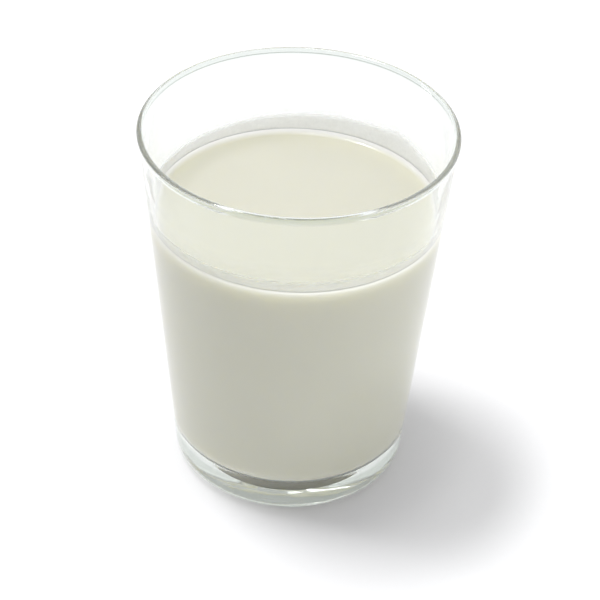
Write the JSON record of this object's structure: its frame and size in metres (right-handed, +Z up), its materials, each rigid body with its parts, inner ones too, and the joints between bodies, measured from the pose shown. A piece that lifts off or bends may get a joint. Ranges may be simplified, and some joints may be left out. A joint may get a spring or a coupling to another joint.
{
  "type": "glass of coconut milk",
  "caption": "Clear tapered tumbler with a beaded lip and a thick base, three quarters full of white coconut milk.",
  "frame": {"origin": "middle of the foot, on the surface that the glass stands on", "axes": "+Z up along the tumbler's turning axis; +X and +Y alike, because the glass is round"},
  "size_m": [0.084, 0.084, 0.1055],
  "materials": {
    "clear_glass": "clear, fire polished, faintly green where it is thick",
    "coconut_milk": "opaque creamy white liquid with a still, softly glossy top"
  },
  "bodies": {
    "root": {"glass_tumbler": "clear_glass", "coconut_milk": "coconut_milk"}
  },
  "joints": []
}
